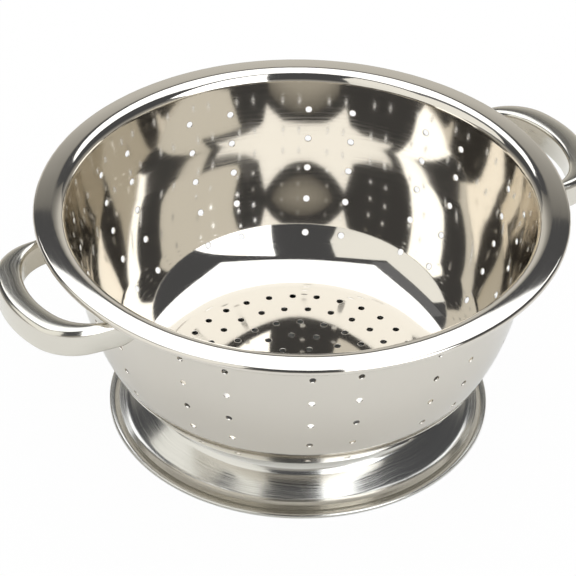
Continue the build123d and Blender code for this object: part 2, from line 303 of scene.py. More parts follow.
class Profile:
    """The middle line of a bent sheet in the plane of radius and height.

    It is a chain of straight runs and arcs. At arc length s past the start of a stretch, the
    heading is the stretch's first heading plus curvature times s, and the point is the first
    point plus the sine and minus the cosine differences of the heading over the curvature, or
    plus s along the heading where the stretch is straight.
    """

    def __init__(self, start, heading, steps):
        stretches = []
        point = np.array(start, float)
        at = 0.0
        for run, radius, turn in steps:
            bent = (abs(turn) * radius, np.sign(turn) / max(radius, MM / 1000))
            for length, curvature in ((run, 0.0), bent):
                if length > 0:
                    stretches.append((at, *point, heading, curvature))
                    at += length
                    point = point + self.travel(length, heading, curvature)
                    heading += curvature * length
        self.length = at
        self.end = point
        self.table = np.array(stretches)
        self.bends = np.append(self.table[:, 0], at)

    @staticmethod
    def travel(s, heading, curvature):
        """The way from a stretch's start to arc length s along it."""
        s, heading, curvature = np.broadcast_arrays(s, heading, curvature)
        bent = np.abs(curvature) > 1e-9
        safe = np.where(bent, curvature, 1.0)
        end = heading + curvature * s
        across = np.where(bent, (np.sin(end) - np.sin(heading)) / safe, s * np.cos(heading))
        up = np.where(bent, (np.cos(heading) - np.cos(end)) / safe, s * np.sin(heading))
        return np.stack([across, up], -1)

    def at(self, s):
        """Points and headings at the arc lengths s."""
        row = self.table[np.clip(np.searchsorted(self.table[:, 0], s, side="right") - 1, 0, None)]
        local = s - row[..., 0]
        points = row[..., 1:3] + self.travel(local, row[..., 3], row[..., 4])
        return points, row[..., 3] + row[..., 4] * local

    def lines(self, low, high, longest_run, widest_turn):
        """Arc lengths of grid lines from low to high: every bend's ends, and steps between them."""
        stops = np.unique(np.round(np.clip(np.append(self.bends, [low, high]), low, high), 9))
        parts = []
        for a, b in zip(stops[:-1], stops[1:]):
            curvature = abs(self.table[np.searchsorted(self.table[:, 0], (a + b) / 2) - 1, 4])
            count = max(1, np.ceil((b - a) / longest_run), np.ceil((b - a) * curvature / widest_turn))
            parts.append(np.linspace(a, b, int(count) + 1)[:-1])
        return np.append(np.concatenate(parts), high)


def reach(heading, steps):
    """How far across and up a chain of runs and bends goes from a heading."""
    return Profile((0, 0), heading, steps).end


def combine(first, second, target):
    """How much of a first and of a second way adds up to the target."""
    return np.linalg.solve(np.stack([first, second], -1), target)


def about_axis(radius, height, angle):
    """Points at a radius and a height, turned about Z by an angle."""
    radius, height, angle = np.broadcast_arrays(radius, height, angle)
    return np.stack([radius * np.cos(angle), radius * np.sin(angle), height], -1)


def sheet_points(profile, s, angle, offset):
    """Points of a turned sheet: the profile's point at s, moved by offset along the left normal
    of its heading, then turned about Z by angle. Gives the points and their normals."""
    point, heading = profile.at(s)
    normal = np.stack([-np.sin(heading), np.cos(heading)], -1)
    place = point + normal * np.asarray(offset)[..., None]
    return about_axis(place[..., 0], place[..., 1], angle), about_axis(normal[..., 0], normal[..., 1], angle)


def grid_quads(index, wrap_columns=False):
    """Quads between the neighbours of a grid of vertex numbers, rows first."""
    if wrap_columns:
        index = np.concatenate([index, index[:, :1]], 1)
    return np.stack([index[:-1, :-1], index[1:, :-1], index[1:, 1:], index[:-1, 1:]], -1).reshape(-1, 4)


def fan(ring, centre, flip=False):
    """Triangles from a closed ring of vertex numbers to the number of its centre."""
    pair = [ring, np.roll(ring, -1)]
    return np.stack([*(pair[::-1] if flip else pair), np.full(len(ring), centre)], -1).tolist()


def zip_rings(inner, inner_angles, outer, outer_angles):
    """Triangles between two closed rings of vertices, whose angles rise from 0 to a full turn.

    Each edge of one ring is joined to the last vertex of the other ring before the edge's end.
    """
    across = outer[np.searchsorted(outer_angles, inner_angles, side="left") - 1]
    back = inner[np.searchsorted(inner_angles, outer_angles, side="right") - 1]
    along_inner = np.stack([np.roll(inner, 1), inner, across], -1)
    along_outer = np.stack([outer, np.roll(outer, 1), back], -1)
    return np.concatenate([along_inner, along_outer])


def make_object(name, points, faces, normals=None, uv=None):
    """A smooth mesh object from arrays of points, faces, vertex normals and vertex UVs."""
    mesh = bpy.data.meshes.new(name)
    mesh.from_pydata(points.tolist(), [], faces)
    mesh.polygons.foreach_set("use_smooth", np.ones(len(mesh.polygons), bool))
    if uv is not None:
        corner = np.zeros(len(mesh.loops), np.int32)
        mesh.loops.foreach_get("vertex_index", corner)
        mesh.uv_layers.new(name="metres").data.foreach_set("uv", uv[corner].astype(np.float32).ravel())
    if normals is not None:
        mesh.normals_split_custom_set_from_vertices(normals.tolist())
    mesh.validate()
    mesh.update()
    made = bpy.data.objects.new(name, mesh)
    bpy.context.scene.collection.objects.link(made)
    return made


def dress(piece, material, slot_name, *nodes):
    """Gives a finished piece its material and body, and hides the imported nodes that it stands for.
    slot_name is not used.
    """
    piece.data.materials.append(material)
    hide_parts(*nodes)
    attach(piece, BODY)


def bowl_profile(bowl):
    """The bowl's middle line, and the radius where its flat floor ends."""
    floor = bowl.floor_underside + bowl.sheet / 2
    belly_end = bowl.corner_turn + bowl.belly_turn
    bends = [
        (0, bowl.corner_radius, bowl.corner_turn),
        (0, bowl.belly_radius, bowl.belly_turn),
        (0, bowl.shoulder_radius, bowl.wall_angle - belly_end),
    ]
    # The wall's run takes the top of the rim's rounding up to the rim's height
    inside = reach(0, bends + [(0, bowl.rim_round_radius, -bowl.wall_angle)])
    wall_run = (bowl.rim_height - bowl.sheet / 2 - floor - inside[1]) / sin(bowl.wall_angle)
    # The floor takes the rim's edge out to the rim's radius
    far_fall = bowl.rim_fall + bowl.rim_crown
    crown_radius = bowl.rim_flat_width / (sin(far_fall) - sin(bowl.rim_fall))
    outside = reach(0, [
        (0, bowl.rim_round_radius, -bowl.rim_fall),
        (0, crown_radius, -bowl.rim_crown),
        (0, bowl.rim_edge_radius, far_fall - pi / 2),
    ])
    spread = inside[0] + wall_run * cos(bowl.wall_angle) + outside[0]
    flat = bowl.rim_diameter / 2 - bowl.sheet / 2 - spread
    steps = [
        (flat, 0, 0),
        *bends,
        (wall_run, bowl.rim_round_radius, -bowl.wall_angle - bowl.rim_fall),
        (0, crown_radius, -bowl.rim_crown),
        (0, bowl.rim_edge_radius, far_fall - pi),
        (bowl.rim_return, 0, 0),
    ]
    return Profile((0, floor), 0, steps), flat


def foot_profile(foot, bowl, flat):
    """The foot's middle line from the flange, which bends about the centre of the bowl's corner."""
    centre_height = bowl.floor_underside + bowl.sheet / 2 + bowl.corner_radius
    flange_radius = bowl.corner_radius + bowl.sheet / 2 + foot.sheet / 2
    flange_start = asin(foot.flange_outset / flange_radius)
    neck = foot.diameter / 2 - foot.spread - foot.sheet / 2
    neck_arm = flange_radius + foot.neck_bend_radius
    flange_end = asin((neck - flat - foot.neck_bend_radius) / neck_arm)
    along_band = reach(-foot.band_slope, [(1, 0, 0)])
    # The heel's radius and the band's run take the sweep from the neck to the bead
    sweep = [
        (foot.neck_straight, foot.upper_radius, pi / 2 - foot.upper_end),
        (0, foot.flare_radius, foot.upper_end - foot.flare_end),
        (foot.cone_run, 0, 0),
    ]
    neck_top = centre_height - neck_arm * cos(flange_end)
    to_bead = (foot.diameter / 2 - foot.bead_width - neck, foot.band_height - neck_top)
    heel_turn = foot.flare_end - foot.band_slope
    heel_radius, band_run = combine(
        reach(-foot.flare_end, [(0, 1, heel_turn)]), along_band, to_bead - reach(-pi / 2, sweep))
    # The band's end and the bead's inner slope take the fold of the hem to the edge and the ground
    step = (0, STEP_RADIUS, foot.band_slope + foot.bead_rise)
    bead = (0, foot.bead_bend_radius, -foot.bead_rise - BEAD_FALL)
    to_fold = (foot.bead_width - foot.sheet / 2, foot.hem_bend_radius + foot.sheet / 2 - foot.band_height)
    bent = reach(-foot.band_slope, [step, bead, (0, foot.hem_bend_radius, BEAD_FALL - pi / 2)])
    band_end, inner_run = combine(along_band, reach(foot.bead_rise, [(1, 0, 0)]), to_fold - bent)
    steps = [
        (0, flange_radius, flange_end - flange_start),
        (0, foot.neck_bend_radius, -pi / 2 - flange_end),
        *sweep,
        (0, heel_radius, heel_turn),
        (band_run + band_end, *step[1:]),
        (inner_run, *bead[1:]),
        (0, foot.hem_bend_radius, BEAD_FALL - pi),
        (foot.hem_width, 0, 0),
    ]
    start = (flat + foot.flange_outset, centre_height - flange_radius * cos(flange_start))
    return Profile(start, flange_start, steps)


def cell_lines(centres, half, longest):
    """Closed grid lines over a full turn: cells about the centres, and steps between the cells.

    Gives the sorted lines and, for each centre, the number of its cell's first line.
    """
    inside = np.linspace(-half, half, CELL_STEPS + 1)
    gaps = (np.roll(centres, -1) - centres) % (2 * pi) - 2 * half
    lines = []
    first = []
    for centre, gap in zip(centres, gaps):
        first.append(sum(map(len, lines)))
        count = max(1, round(gap / longest))
        lines.append(centre + inside)
        lines.append(centre + half + np.linspace(0, gap, count + 1)[1:-1])
    return np.concatenate(lines), np.array(first)


def cell_border(grid, rows, columns):
    """Vertex numbers round the border of each cell, in order, for arrays of first rows and columns."""
    step = np.arange(CELL_STEPS)
    near, far = np.zeros(CELL_STEPS, int), np.full(CELL_STEPS, CELL_STEPS)
    down = np.concatenate([step, far, CELL_STEPS - step, near])
    across = np.concatenate([near, step, far, CELL_STEPS - step])
    return grid[rows[:, None] + down, (columns[:, None] + across) % grid.shape[1]]


class PerforatedSheet:
    """Gathers a turned sheet's vertices as arc length, angle, offset and tilt of the normal."""

    def __init__(self, profile, sheet, hole_radius, lean=None):
        self.profile = profile
        self.lean = lean  # gives the arc lengths' extra lean of the normals
        self.sheet = sheet
        self.hole_radius = hole_radius
        self.parts = []
        self.count = 0
        self.quads = []
        self.triangles = []
        self.barrel = np.concatenate([HOLE_LIP, HOLE_LIP[::-1] * (1, -1, -1) + (0, 0, 180)])

    def add(self, s, angle, offset, tilt=0.0, inward=(0.0, 0.0)):
        """Adds vertices from arrays of one shape and gives their numbers in that shape."""
        s, angle, offset, tilt, along, around = np.broadcast_arrays(s, angle, offset, tilt, *inward)
        self.parts.append(np.stack([s, angle, offset, tilt, along, around], -1).reshape(-1, 6))
        numbers = np.arange(self.count, self.count + s.size).reshape(s.shape)
        self.count += s.size
        return numbers

    def face_grids(self, s_lines, angles):
        """The same grid on the inner and the outer face."""
        s, angle = np.meshgrid(s_lines, angles, indexing="ij")
        return [self.add(s, angle, side * self.sheet / 2, 90 - 90 * side) for side in (1, -1)]

    def skin(self, grids, holes_at):
        """Quads of both faces, apart from the cells' insides, and the holes in the cells."""
        inner, outer = grids
        rows, columns = holes_at
        keep = np.ones((inner.shape[0] - 1, inner.shape[1]), bool)
        span = np.arange(CELL_STEPS)
        keep[rows[:, None, None] + span[:, None], (columns[:, None, None] + span) % inner.shape[1]] = False
        for side, grid in ((1, inner), (-1, outer)):
            quads = grid_quads(grid, wrap_columns=True)[keep.ravel()]
            self.quads.append(quads[:, ::side])
        if len(rows):
            self.punch(cell_border(inner, rows, columns), cell_border(outer, rows, columns))

    def punch(self, inner_border, outer_border):
        """Holes whose lips roll in from the inner border and out to the outer one."""
        border_s, border_angle = np.moveaxis(np.concatenate(self.parts)[inner_border, :2], -1, 0)
        centre_s = ((border_s.max(1) + border_s.min(1)) / 2)[:, None]
        centre_angle = ((border_angle.max(1) + border_angle.min(1)) / 2)[:, None]
        radius = self.profile.at(centre_s)[0][..., 0]
        phi = np.arctan2((border_angle - centre_angle) * radius, border_s - centre_s)
        rings = [inner_border]
        for share, depth_share, tilt in self.barrel:
            rho = share * self.hole_radius
            rings.append(self.add(
                centre_s + rho * np.cos(phi),
                centre_angle + rho * np.sin(phi) / radius,
                depth_share * self.sheet,
                tilt,
                (-np.cos(phi), -np.sin(phi)),
            ))
        rings.append(outer_border)
        for a, b in zip(rings[:-1], rings[1:]):
            around = np.stack([a, np.roll(a, -1, 1), np.roll(b, -1, 1), b], -1)
            self.quads.append(around.reshape(-1, 4))

    def finish(self, name):
        """The mesh object, with exact normals and a UV map of angle and arc length."""
        data = np.concatenate(self.parts)
        s, angle, offset, tilt, along, around = data.T
        points, facing = sheet_points(self.profile, s, angle, offset)
        heading = self.profile.at(s)[1]
        forward = about_axis(np.cos(heading), np.sin(heading), angle)
        sideways = np.stack([-np.sin(angle), np.cos(angle), np.zeros(len(angle))], -1)
        if self.lean:
            lean = self.lean(s)[:, None]
            facing, forward = (
                np.cos(lean) * facing + np.sin(lean) * forward,
                np.cos(lean) * forward - np.sin(lean) * facing)
        tilt = np.radians(tilt)[:, None]
        inward = along[:, None] * forward + around[:, None] * sideways
        normals = np.cos(tilt) * facing + np.sin(tilt) * inward
        quads = np.concatenate(self.quads)
        triangles = np.concatenate(self.triangles) if self.triangles else np.zeros((0, 3), int)
        used = np.unique(np.concatenate([quads.ravel(), triangles.ravel()]))
        number = np.zeros(self.count, int)
        number[used] = np.arange(len(used))
        faces = number[quads].tolist() + number[triangles].tolist()
        uv = np.stack([angle / (2 * pi), s], -1)
        return make_object(name, points[used], faces, normals[used], uv[used])


class COLANDER_OT_bowl(Operator):
    """Adds the perforated, mirror-polished bowl"""

    bl_idname = "colander.bowl"
    bl_label = "Bowl"

    def execute(self, context):
        bowl = context.scene.colander_bowl
        holes = context.scene.colander_holes
        profile, flat = bowl_profile(bowl)

        def crown(s):
            """Lean of the floor's normals, which rises to floor_crown and fades to none at the corner."""
            return bowl.floor_crown * s / bowl.crown_radius * (1 - smooth_step(bowl.crown_radius, flat, s))

        sheet = PerforatedSheet(profile, bowl.sheet, holes.diameter / 2, crown)
        half = holes.cell / 2

        # Wall: columns of cells from the corner to the top row, then the rim
        top_row = bowl.rim_height - holes.top_row_drop
        bottom_row = bowl.floor_underside + bowl.sheet / 2 + holes.bottom_row_rise
        row_heights = np.linspace(bottom_row, top_row, holes.row_count)
        dense = np.linspace(flat, profile.bends[WALL_END], WALL_SAMPLES)
        row_s = np.interp(row_heights, profile.at(dense)[0][:, 1], dense)
        pair = np.arange(holes.pair_count)[:, None]
        turns = holes.pair_phase + pair * 2 * pi / holes.pair_count + holes.pair_gap * np.array([-0.5, 0.5])
        mean_radius = profile.at(row_s)[0][:, 0].mean()
        angles, first_column = cell_lines(np.sort(turns.ravel()), half / mean_radius, WALL_GAP / mean_radius)

        s_lines = [profile.lines(flat + FLAT_MARGIN, row_s[0] - half, WALL_STEP, WALL_TURN)]
        first_row = []
        for row, centre in enumerate(row_s):
            first_row.append(sum(map(len, s_lines)) - 1)
            s_lines.append(np.linspace(centre - half, centre + half, CELL_STEPS + 1)[1:])
            after = row_s[row + 1] - half if row + 1 < len(row_s) else profile.length
            s_lines.append(profile.lines(centre + half, after, WALL_STEP, WALL_TURN)[1:])
        s_lines = np.concatenate(s_lines)
        grids = sheet.face_grids(s_lines, angles)
        row_index, column_index = np.meshgrid(first_row, first_column, indexing="ij")
        sheet.skin(grids, (row_index.ravel(), column_index.ravel()))
        sheet.quads.append(grid_quads(np.stack([grids[0][-1], grids[1][-1]]), wrap_columns=True))
        outer_rings = [grid[0] for grid in grids]
        outer_angles = angles

        # Floor: one band of cells for each ring of holes, joined by strips of triangles
        outermost = flat - holes.outer_ring_margin
        ring_radii = np.linspace(outermost, holes.inner_ring_radius, len(holes.ring_counts))
        for radius, count, phase in zip(ring_radii, holes.ring_counts, holes.ring_phases):
            centres = radians(phase) + np.arange(count) * 2 * pi / count
            angles, first = cell_lines(centres, half / radius, FLOOR_GAP / radius)
            s_lines = np.linspace(radius - half, radius + half, CELL_STEPS + 1)
            grids = sheet.face_grids(s_lines, angles)
            sheet.skin(grids, (np.zeros(count, int), first))
            self.join(sheet, [grid[-1] for grid in grids], angles, outer_rings, outer_angles)
            outer_rings = [grid[0] for grid in grids]
            outer_angles = angles

        # Middle hole
        angles = np.arange(SPOKES) * 2 * pi / SPOKES
        grids = sheet.face_grids(np.array([half]), angles)
        self.join(sheet, [grid[0] for grid in grids], angles, outer_rings, outer_angles)
        self.middle_hole(sheet, grids, angles)
        piece = sheet.finish("bowl_shell")
        dress(piece, bowl_steel(context.scene.colander_finish), "polished_bowl", "bowl")
        return {"FINISHED"}

    @staticmethod
    def join(sheet, inner_rings, inner_angles, outer_rings, outer_angles):
        """Strips of triangles between two rings, on both faces."""
        inner_angles, outer_angles = inner_angles % (2 * pi), outer_angles % (2 * pi)
        inner_order, outer_order = (np.argsort(a, kind="stable") for a in (inner_angles, outer_angles))
        for side, inner, outer in zip((1, -1), inner_rings, outer_rings):
            strip = zip_rings(
                inner[inner_order], inner_angles[inner_order], outer[outer_order], outer_angles[outer_order])
            sheet.triangles.append(strip[:, ::-side])

    @staticmethod
    def middle_hole(sheet, grids, angles):
        """The hole on the axis: its rings are circles about the axis."""
        rings = [grids[0][0]]
        for share, depth_share, tilt in sheet.barrel:
            rings.append(sheet.add(
                share * sheet.hole_radius, angles, depth_share * sheet.sheet, tilt, (-1.0, 0.0)))
        rings.append(grids[1][0])
        for a, b in zip(rings[:-1], rings[1:]):
            sheet.quads.append(np.stack([a, np.roll(a, -1), np.roll(b, -1), b], -1))


class COLANDER_OT_foot(Operator):
    """Adds the spun foot ring"""

    bl_idname = "colander.foot"
    bl_label = "Foot ring"

    def execute(self, context):
        bowl = context.scene.colander_bowl
        foot = context.scene.colander_foot
        profile = foot_profile(foot, bowl, bowl_profile(bowl)[1])
        sheet = PerforatedSheet(profile, foot.sheet, foot.sheet)
        angles = np.arange(FOOT_SIDES) * 2 * pi / FOOT_SIDES
        s_lines = profile.lines(0, profile.length, FOOT_STEP, FOOT_TURN)
        grids = sheet.face_grids(s_lines, angles)
        none = np.zeros(0, int)
        sheet.skin(grids, (none, none))
        sheet.quads.append(grid_quads(np.stack([grids[0][-1], grids[1][-1]]), wrap_columns=True))
        sheet.quads.append(grid_quads(np.stack([grids[1][0], grids[0][0]]), wrap_columns=True))
        piece = sheet.finish("foot_ring_shell")
        dress(piece, foot_steel(context.scene.colander_finish), "polished_foot", "foot_ring")
        return {"FINISHED"}


def wall_radius(profile, height):
    """Radius of the bowl wall's middle at a height on its straight upper part."""
    start, heading = profile.at(profile.bends[WALL_START] + MM)
    return start[0] + (height - start[1]) / tan(heading)


def ear_seat(handle, bowl):
    """Height of the ears' middle, and the radius of the wall's outer face there."""
    centre = handle.top - handle.ear_top_gap - handle.ear_height / 2
    return centre, wall_radius(bowl_profile(bowl)[0], centre) + bowl.sheet / 2 / sin(bowl.wall_angle)


def handle_outlines(handle, ear_outer):
    """Plan outlines of half a handle on the +X side: the outer face and the inner face.

    The outer face goes bow, corner, side, a hollow elbow, then the ear along the wall at the
    radius ear_outer. Gives both profiles, and the arc lengths where the elbow starts and ends.
    """
    bow_x = handle.reach - handle.bow_radius
    bow_arm = handle.bow_radius - handle.corner_outer_radius
    corner_y = handle.half_width - handle.corner_outer_radius
    bow_turn = asin(corner_y / bow_arm)
    side_heading = pi - handle.splay
    right = np.array([sin(side_heading), -cos(side_heading)])
    along = np.array([cos(side_heading), sin(side_heading)])
    corner_centre = np.array([bow_x + bow_arm * cos(bow_turn), corner_y])

    # The side runs until a bend of elbow_radius to the right touches the ear's outer face
    base = corner_centre + handle.corner_outer_radius * right + right * handle.elbow_radius
    arm = ear_outer + handle.elbow_radius
    b = base @ along
    side_run = -b - sqrt(b * b - base @ base + arm * arm)
    elbow_centre = base + along * side_run
    elbow_turn = side_heading - (atan2(elbow_centre[1], elbow_centre[0]) + pi / 2)
    outer = Profile((handle.reach, 0), pi / 2, [
        (0, handle.bow_radius, bow_turn),
        (0, handle.corner_outer_radius, pi / 2 - handle.splay - bow_turn),
        (side_run, handle.elbow_radius, -elbow_turn),
        (0, ear_outer, handle.ear_length / ear_outer),
    ])
    inner_half = handle.half_width - handle.bar_end
    inner_bow = handle.bow_radius - handle.depth
    inner_turn = asin((inner_half - handle.corner_inner_radius) / (inner_bow - handle.corner_inner_radius))
    inner = Profile((bow_x + inner_bow, 0), pi / 2, [
        (0, inner_bow, inner_turn),
        (0, handle.corner_inner_radius, pi / 2 - handle.splay - inner_turn),
        (2 * side_run, 0, 0),
    ])
    elbow_start = outer.bends[2] + side_run
    return outer, inner, elbow_start, elbow_start + handle.elbow_radius * elbow_turn


def depth_to(line, points, left, forward):
    """Distance from each point along its left direction to a dense line of points."""
    apart = line[None] - points[:, None]
    ahead = np.einsum("ijk,ik->ij", apart, forward)
    crossing = np.argmax((ahead[:, :-1] <= 0) & (ahead[:, 1:] > 0), axis=1)
    rows = np.arange(len(points))
    before, after = ahead[rows, crossing], ahead[rows, crossing + 1]
    share = -before / (after - before)
    hit = line[crossing] + (line[crossing + 1] - line[crossing]) * share[:, None]
    return np.einsum("ij,ij->i", hit - points, left)


def tube_section(depth, height, squeeze, crease):
    """The tube's sections as distances in from the outer face and up from the middle.

    A section is a rectangle with elliptical corners, joined by straight sides. Its top and
    underside are crowned by one less the square of the way across, its outer and inner faces by
    one less the square of the way up, and the crowns fade where the tube is squeezed.
    """
    across = np.minimum(CORNER_DEPTHS[:, None] * MM, depth * 0.5)
    tube_upright = (CORNER_HEIGHTS[:, None] + CREASE_HEIGHTS[:, None] * crease) * MM
    upright = tube_upright * (1 - squeeze) + EAR_CORNER * squeeze
    turn = np.linspace(0, pi / 2, ROUND_STEPS)
    corners = []
    signs = ((-1, 1, pi / 2 - turn), (-1, -1, turn), (1, -1, pi / 2 - turn), (1, 1, turn))
    for k, (q_sign, z_sign, angle) in enumerate(signs):
        middle_q = across[k] if q_sign < 0 else depth - across[k]
        middle_z = z_sign * (height / 2 - upright[k])
        corners.append(np.stack([
            middle_q[:, None] + q_sign * across[k][:, None] * np.cos(angle),
            middle_z[:, None] + z_sign * upright[k][:, None] * np.sin(angle)]))
    fill = np.linspace(0, 1, SIDE_STEPS + 1)[1:-1]
    outline = []
    for corner, following in zip(corners, corners[1:] + corners[:1]):
        last = corner[..., -1:]
        outline += [corner, last + (following[..., :1] - last) * fill]
    q, z = np.concatenate(outline, -1)
    tube_share = (1 - squeeze)[:, None]
    level = 2 * q / np.maximum(depth[:, None], MM / 10) - 1
    crown = TOP_CROWN * tube_share
    z = z + crown * (1 - level ** 2) * np.where(z > 0, 1, -UNDER_SHARE) - crown * (z > 0)
    face = np.clip(1 - (2 * z / height[:, None]) ** 2, 0, 1)
    return q - SIDE_CROWN * tube_share * face * np.where(level < 0, 1, -INNER_SHARE), z


def handle_mesh(handle, bowl):
    """Points of the handle on the +X side, with the run and the girth of its grid lines.

    At each station along the outer face the section runs from there along the left normal to
    the inner face, and up and down by half the height there.
    """
    ear_centre, wall_face = ear_seat(handle, bowl)
    outer, inner, elbow_start, elbow_end = handle_outlines(handle, wall_face + handle.ear_thickness)

    # Stations, closer together where the ear's tip is rounded
    s = outer.lines(0, outer.length, HANDLE_STEP, HANDLE_TURN)
    tip_start = outer.length - handle.ear_corner_radius
    quarter = np.sin(np.linspace(0, pi / 2, ROUND_STEPS))
    s = np.append(s[s <= tip_start], outer.length - handle.ear_corner_radius * (1 - quarter))
    points, heading = outer.at(s)
    left = np.stack([-np.sin(heading), np.cos(heading)], -1)
    forward = np.stack([np.cos(heading), np.sin(heading)], -1)
    inner_line = inner.at(np.linspace(0, inner.length, INNER_SAMPLES))[0]

    # The squeeze of the tube into its ear: 0 along the tube and 1 along the ear
    squeeze = smooth_step(elbow_start - SQUEEZE_RUN, elbow_end, s)
    bar_depth = np.where(s < elbow_start, depth_to(inner_line, points, left, forward), handle.bar_end)
    depth = bar_depth + (handle.ear_thickness - bar_depth) * squeeze
    height = handle.height + (handle.ear_height - handle.height) * squeeze
    middle = handle.top - handle.height / 2 + (ear_centre - handle.top + handle.height / 2) * squeeze
    to_tip = np.clip(s - tip_start, 0, handle.ear_corner_radius)
    height = height - 2 * (handle.ear_corner_radius - np.sqrt(handle.ear_corner_radius ** 2 - to_tip ** 2))
    q, z = tube_section(depth, height, squeeze, smooth_step(outer.bends[1], elbow_start, s))

    # The wall leans, so the ear is sheared with it
    plan = points[:, None] + left[:, None] * q[..., None]
    rise = z + middle[:, None]
    lean = (rise - ear_centre) / tan(bowl.wall_angle) * squeeze[:, None]
    plan = plan * (1 + lean[..., None] / np.linalg.norm(plan, axis=-1, keepdims=True))
    half = np.concatenate([plan, rise[..., None]], -1)
    whole = np.concatenate([half[:0:-1] * (1, -1, 1), half])
    run = np.concatenate([-s[:0:-1], s])
    girth = np.arange(whole.shape[1]) / whole.shape[1] * 2 * (handle.depth + handle.height)
    return whole, run, girth


class COLANDER_OT_handles(Operator):
    """Adds the two bowed tube handles"""

    bl_idname = "colander.handles"
    bl_label = "Handles"

    def execute(self, context):
        whole, run, girth = handle_mesh(context.scene.colander_handle, context.scene.colander_bowl)
        rows, columns = whole.shape[:2]
        index = np.arange(rows * columns).reshape(rows, columns)
        points = np.concatenate([whole.reshape(-1, 3), whole[[0, -1]].mean(1)])
        quads = grid_quads(index, wrap_columns=True)[:, ::-1]
        faces = quads.tolist() + fan(index[0], index.size, flip=True) + fan(index[-1], index.size + 1)
        across, along = np.meshgrid(girth, run)
        uv = np.concatenate([np.stack([along, across], -1).reshape(-1, 2), [[run[0], 0], [run[-1], 0]]])
        steel = handle_steel(context.scene.colander_finish)
        for name, sign in HANDLE_SIDES:
            piece = make_object(f"{name}_tube", points * (sign, sign, 1), faces, uv=uv)
            dress(piece, steel, "polished_handle", name)
        return {"FINISHED"}


def nugget(places, outwards, radius, name):
    """Spot welds: a profile of radius and height turned about each outward axis.

    The profile rises to a low ring at the edge, dips in the middle and sinks into the sheet.
    """
    rise = WELD_HEIGHTS * MM
    angle = np.arange(WELD_SIDES) * 2 * pi / WELD_SIDES
    outwards = outwards / np.linalg.norm(outwards, axis=1, keepdims=True)
    side = np.cross(outwards, (0, 0, 1.0))
    side /= np.linalg.norm(side, axis=1, keepdims=True)
    up = np.cross(side, outwards)
    turned = side[:, None] * np.cos(angle)[:, None] + up[:, None] * np.sin(angle)[:, None]
    rings = (
        places[:, None, None]
        + turned[:, None] * (WELD_RADII[1:-1] * radius)[:, None, None]
        + outwards[:, None, None] * rise[1:-1][:, None, None])
    spots = len(rings)
    index = np.arange(rings[..., 0].size).reshape(rings.shape[:3])
    tops = index.size + np.arange(spots)
    bottoms = tops + spots
    points = np.concatenate([
        rings.reshape(-1, 3), places + outwards * rise[0], places + outwards * rise[-1]])
    faces = []
    for spot in range(spots):
        faces += grid_quads(index[spot], wrap_columns=True)[:, ::-1].tolist()
        faces += fan(index[spot][0], tops[spot], flip=True) + fan(index[spot][-1], bottoms[spot])
    share = np.broadcast_to(WELD_RADII[1:-1, None], rings.shape[:3]).ravel()
    uv = np.concatenate([np.stack([share, share], -1), np.zeros((2 * spots, 2))])
    return make_object(name, points, faces, uv=uv)


class COLANDER_OT_welds(Operator):
    """Adds the spot welds of the handles and the foot"""

    bl_idname = "colander.welds"
    bl_label = "Spot welds"

    def execute(self, context):
        scene = context.scene
        bowl, handle, weld = scene.colander_bowl, scene.colander_handle, scene.colander_weld
        steel = weld_steel(scene.colander_finish)

        # Handles: two spots in each ear
        centre, face = ear_seat(handle, bowl)
        ear_angle = asin(handle.half_width / face) + handle.ear_length / 2 / face
        spot_angle = ear_angle + weld.handle_outset / face
        spread = (handle.ear_height - weld.handle_diameter - 2 * weld.handle_margin) / 2
        turn = np.repeat([-spot_angle, spot_angle], 2)
        heading = bowl.wall_angle
        outwards = about_axis(sin(heading), -cos(heading), turn)
        up_wall = about_axis(cos(heading), sin(heading), turn) * (spread * np.array([-1, 1, -1, 1]))[:, None]
        places = about_axis(face, centre, turn) + up_wall + outwards * handle.ear_thickness
        for name, sign in HANDLE_SIDES:
            flip = np.array([sign, sign, 1])
            piece = nugget(places * flip, outwards * flip, weld.handle_diameter / 2, f"{name}_spots")
            dress(piece, steel, "weld_metal", f"{name}_welds")

        # Foot: spots round the underside of the flange
        foot = foot_profile(scene.colander_foot, bowl, bowl_profile(bowl)[1])
        point, slope = foot.at(foot.bends[1] / 2)
        spin = (np.arange(weld.foot_count) + 0.5) * 2 * pi / weld.foot_count
        down = about_axis(sin(slope), -cos(slope), spin)
        places = about_axis(*point, spin) + down * scene.colander_foot.sheet / 2
        piece = nugget(places, down, weld.foot_diameter / 2, "foot_ring_spots")
        dress(piece, steel, "weld_metal", "foot_ring_welds")
        return {"FINISHED"}


def new_material(name):
    """An empty node material and its node tree."""
    material = bpy.data.materials.new(name)
    material.use_nodes = True
    material.node_tree.nodes.clear()
    return material, material.node_tree


